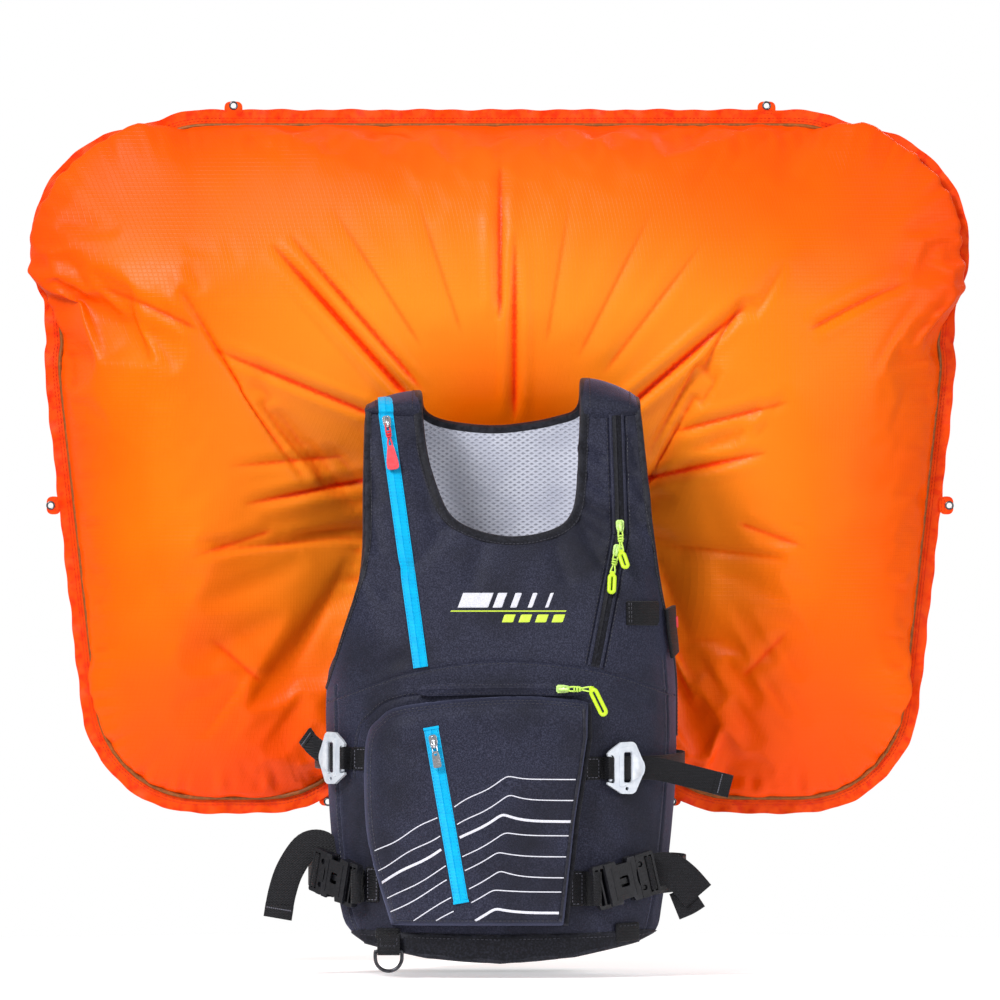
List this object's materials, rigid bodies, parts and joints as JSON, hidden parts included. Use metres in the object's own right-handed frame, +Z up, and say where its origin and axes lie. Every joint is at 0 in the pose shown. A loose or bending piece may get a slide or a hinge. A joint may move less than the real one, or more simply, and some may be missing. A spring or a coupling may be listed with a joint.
{
  "type": "avalanche airbag backpack",
  "caption": "Vest-style avalanche backpack with its U-shaped airbag inflated, with zips, buckles, gas cylinder, valve and trigger.",
  "frame": {"origin": "on the face of the back lining that rests on the wearer's back, on the centre line, at the height of the hem", "axes": "+X to the wearer's left, +Y from the chest towards the pack behind, +Z up"},
  "size_m": [1.0432, 0.4676, 0.9575],
  "materials": {
    "softshell": "charcoal woven softshell",
    "mesh_lining": "pale grey spacer mesh",
    "binding": "dark knitted binding",
    "hem_fabric": "black woven hem",
    "webbing": "black woven webbing",
    "blue_zip": "blue water-resistant zip tape",
    "black_zip": "black coil zip",
    "pack_cloth": "black pack cloth",
    "airbag_cloth": "orange coated ripstop nylon",
    "seam_tape": "orange-red seam flange",
    "frame_sheet": "black polyethylene sheet",
    "black_plastic": "moulded black acetal",
    "red_plastic": "red moulded plastic",
    "rubber": "black rubber",
    "cable_sheath": "black cable sheath",
    "anodised": "anodised aluminium",
    "steel": "stainless steel",
    "cylinder_metal": "satin aluminium",
    "red_metal": "red painted zip slider",
    "red_cord": "red moulded cord puller",
    "lime_metal": "lime painted zip slider",
    "lime_cord": "lime moulded cord puller",
    "bright_metal": "bright nickel",
    "black_metal": "black painted metal",
    "silver_alloy": "pale silver alloy",
    "ring_metal": "black painted steel"
  },
  "bodies": {
    "vest": {"front_panel": "softshell", "back_panel": "softshell", "back_lining": "mesh_lining", "shoulder_yokes": "softshell", "neck_binding": "binding", "armhole_bindings": "binding", "cargo_pouch": "softshell", "hem_band": "hem_fabric", "hem_loops": "webbing", "shoulder_zip": "blue_zip", "chest_zip": "black_zip", "pouch_zip": "black_zip", "pocket_zip": "blue_zip", "chest_webbing": "webbing", "hook_webbing": "webbing", "buckle_webbing": "webbing", "buckle_sockets": "black_plastic", "upper_straps": "webbing", "lower_straps": "webbing", "pack_shell": "pack_cloth", "rear_zip": "black_zip", "haul_loop": "webbing", "back_frame": "frame_sheet", "burst_flaps": "webbing", "airbag": "airbag_cloth", "airbag_seam": "seam_tape", "ejector_body": "black_plastic", "hose": "rubber", "valve_body": "anodised", "valve_spring": "steel", "gauge": "anodised", "cylinder_cradle": "webbing", "trigger_sleeve": "softshell", "trigger_cable": "cable_sheath"},
    "shoulder_zip_slider": {"shoulder_zip_slider": "red_metal"},
    "shoulder_zip_puller": {"shoulder_zip_puller": "red_cord"},
    "chest_zip_slider_upper": {"chest_zip_slider_upper": "lime_metal"},
    "chest_zip_puller_upper": {"chest_zip_puller_upper": "lime_cord"},
    "chest_zip_slider_lower": {"chest_zip_slider_lower": "lime_metal"},
    "chest_zip_puller_lower": {"chest_zip_puller_lower": "lime_cord"},
    "pocket_zip_slider": {"pocket_zip_slider": "bright_metal"},
    "pocket_zip_puller": {"pocket_zip_puller": "bright_metal"},
    "pouch_zip_slider": {"pouch_zip_slider": "lime_metal"},
    "pouch_zip_puller": {"pouch_zip_puller": "lime_cord"},
    "rear_zip_slider": {"rear_zip_slider": "black_metal"},
    "rear_zip_puller": {"rear_zip_puller": "lime_cord"},
    "buckle_plug_left": {"buckle_plug_left": "black_plastic"},
    "prong_upper_left": {"prong_upper_left": "black_plastic"},
    "prong_lower_left": {"prong_lower_left": "black_plastic"},
    "buckle_plug_right": {"buckle_plug_right": "black_plastic"},
    "prong_upper_right": {"prong_upper_right": "black_plastic"},
    "prong_lower_right": {"prong_lower_right": "black_plastic"},
    "hook_buckle_left": {"hook_buckle_left": "silver_alloy"},
    "hook_buckle_right": {"hook_buckle_right": "silver_alloy"},
    "d_ring": {"d_ring": "ring_metal"},
    "ejector_flap": {"ejector_flap": "rubber"},
    "valve_pin": {"valve_pin": "steel"},
    "trigger_handle": {"trigger_handle": "red_plastic"},
    "gauge_needle": {"gauge_needle": "red_plastic"},
    "gas_cylinder": {"gas_cylinder": "cylinder_metal"}
  },
  "joints": [
    {"name": "shoulder_zip_slide", "type": "slide", "parent": "vest", "child": "shoulder_zip_slider", "axis": [0.134, -0.2648, -0.9549], "range_m": [0, 0.23]},
    {"name": "shoulder_zip_pull_swing", "type": "hinge", "parent": "shoulder_zip_slider", "child": "shoulder_zip_puller", "pos_m": [-0.12298, -0.11368, 0.58559], "axis": [-0.991, -0.0358, -0.1291], "range_deg": [0, 100]},
    {"name": "chest_zip_slide_upper", "type": "slide", "parent": "vest", "child": "chest_zip_slider_upper", "axis": [-0.0314, 0.2671, 0.9632], "range_m": [0, 0.115]},
    {"name": "chest_zip_pull_swing_upper", "type": "hinge", "parent": "chest_zip_slider_upper", "child": "chest_zip_puller_upper", "pos_m": [0.13087, -0.14522, 0.47188], "axis": [-0.9995, -0.0084, -0.0303], "range_deg": [0, 80]},
    {"name": "chest_zip_slide_lower", "type": "slide", "parent": "vest", "child": "chest_zip_slider_lower", "axis": [-0.184, -0.2627, -0.9472], "range_m": [0, 0.08]},
    {"name": "chest_zip_pull_swing_lower", "type": "hinge", "parent": "chest_zip_slider_lower", "child": "chest_zip_puller_lower", "pos_m": [0.12659, -0.15259, 0.4453], "axis": [-0.9829, 0.0492, 0.1773], "range_deg": [0, 100]},
    {"name": "pocket_zip_slide", "type": "slide", "parent": "vest", "child": "pocket_zip_slider", "axis": [0.1702, -0.0344, -0.9848], "range_m": [0, 0.14]},
    {"name": "pocket_zip_pull_swing", "type": "hinge", "parent": "pocket_zip_slider", "child": "pocket_zip_puller", "pos_m": [-0.07162, -0.2134, 0.23762], "axis": [-0.9854, -0.0059, -0.1701], "range_deg": [0, 100]},
    {"name": "pouch_zip_slide", "type": "slide", "parent": "vest", "child": "pouch_zip_slider", "axis": [-1, 0, 0], "range_m": [0, 0.14]},
    {"name": "pouch_zip_pull_swing", "type": "hinge", "parent": "pouch_zip_slider", "child": "pouch_zip_puller", "pos_m": [0.072, -0.1947, 0.298], "axis": [0, 0, -1], "range_deg": [0, 65]},
    {"name": "rear_zip_slide", "type": "slide", "parent": "vest", "child": "rear_zip_slider", "axis": [0, 0, -1], "range_m": [0, 0.2]},
    {"name": "rear_zip_pull_swing", "type": "hinge", "parent": "rear_zip_slider", "child": "rear_zip_puller", "pos_m": [-0.078, 0.1376, 0.306], "axis": [1, 0, 0], "range_deg": [0, 100]},
    {"name": "buckle_left_release", "type": "slide", "parent": "vest", "child": "buckle_plug_left", "axis": [0.8645, 0.4405, 0.2419], "range_m": [0, 0.028]},
    {"name": "prong_upper_left_flex", "type": "hinge", "parent": "buckle_plug_left", "child": "prong_upper_left", "pos_m": [0.14962, -0.16706, 0.10721], "axis": [0.454, -0.891, 0], "range_deg": [0, 8], "stiffness_Nm_per_rad": 0.05},
    {"name": "prong_lower_left_flex", "type": "hinge", "parent": "buckle_plug_left", "child": "prong_lower_left", "pos_m": [0.15523, -0.1642, 0.08198], "axis": [0.454, -0.891, 0], "range_deg": [-8, 0]},
    {"name": "buckle_right_release", "type": "slide", "parent": "vest", "child": "buckle_plug_right", "axis": [-0.6237, 0.7433, 0.2419], "range_m": [0, 0.028]},
    {"name": "prong_upper_right_flex", "type": "hinge", "parent": "buckle_plug_right", "child": "prong_upper_right", "pos_m": [-0.18883, -0.12629, 0.10921], "axis": [0.766, 0.6428, 0], "range_deg": [0, 8], "stiffness_Nm_per_rad": 0.05},
    {"name": "prong_lower_right_flex", "type": "hinge", "parent": "buckle_plug_right", "child": "prong_lower_right", "pos_m": [-0.19287, -0.12147, 0.08398], "axis": [0.766, 0.6428, 0], "range_deg": [-8, 0]},
    {"name": "hook_buckle_left_tilt", "type": "hinge", "parent": "vest", "child": "hook_buckle_left", "pos_m": [0.11998, -0.18041, 0.212], "axis": [0, 0, -1], "range_deg": [0, 35]},
    {"name": "hook_buckle_right_tilt", "type": "hinge", "parent": "vest", "child": "hook_buckle_right", "pos_m": [-0.17088, -0.1442, 0.222], "axis": [0, 0, 1], "range_deg": [0, 35]},
    {"name": "d_ring_swing", "type": "hinge", "parent": "vest", "child": "d_ring", "pos_m": [-0.121, -0.1815, 0.013], "axis": [-1, 0, 0], "range_deg": [0, 80]},
    {"name": "ejector_flap_open", "type": "hinge", "parent": "vest", "child": "ejector_flap", "pos_m": [0, 0.0825, 0.456], "axis": [1, 0, 0], "range_deg": [0, 60]},
    {"name": "trigger_pull", "type": "slide", "parent": "vest", "child": "trigger_handle", "axis": [0.134, -0.2648, -0.9549], "range_m": [0, 0.05], "stiffness_N_per_m": 60},
    {"name": "valve_pin_slide", "type": "slide", "parent": "vest", "child": "valve_pin", "axis": [0, 0, -1], "range_m": [0, 0.01], "deforming": ["valve_spring"]},
    {"name": "gauge_needle_turn", "type": "hinge", "parent": "vest", "child": "gauge_needle", "pos_m": [0.05, 0.1073, 0.305], "axis": [0, 1, 0], "range_deg": [0, 270]},
    {"name": "gas_cylinder_unscrew", "type": "hinge", "parent": "vest", "child": "gas_cylinder", "pos_m": [0.05, 0.074, 0.15], "axis": [0, 0, -1], "range_deg": [0, 360]}
  ],
  "couplings": [
    {"joint": "prong_lower_left_flex", "follows": "prong_upper_left_flex", "ratio": -1},
    {"joint": "prong_lower_right_flex", "follows": "prong_upper_right_flex", "ratio": -1},
    {"joint": "valve_pin_slide", "follows": "trigger_pull", "ratio": 0.2}
  ]
}
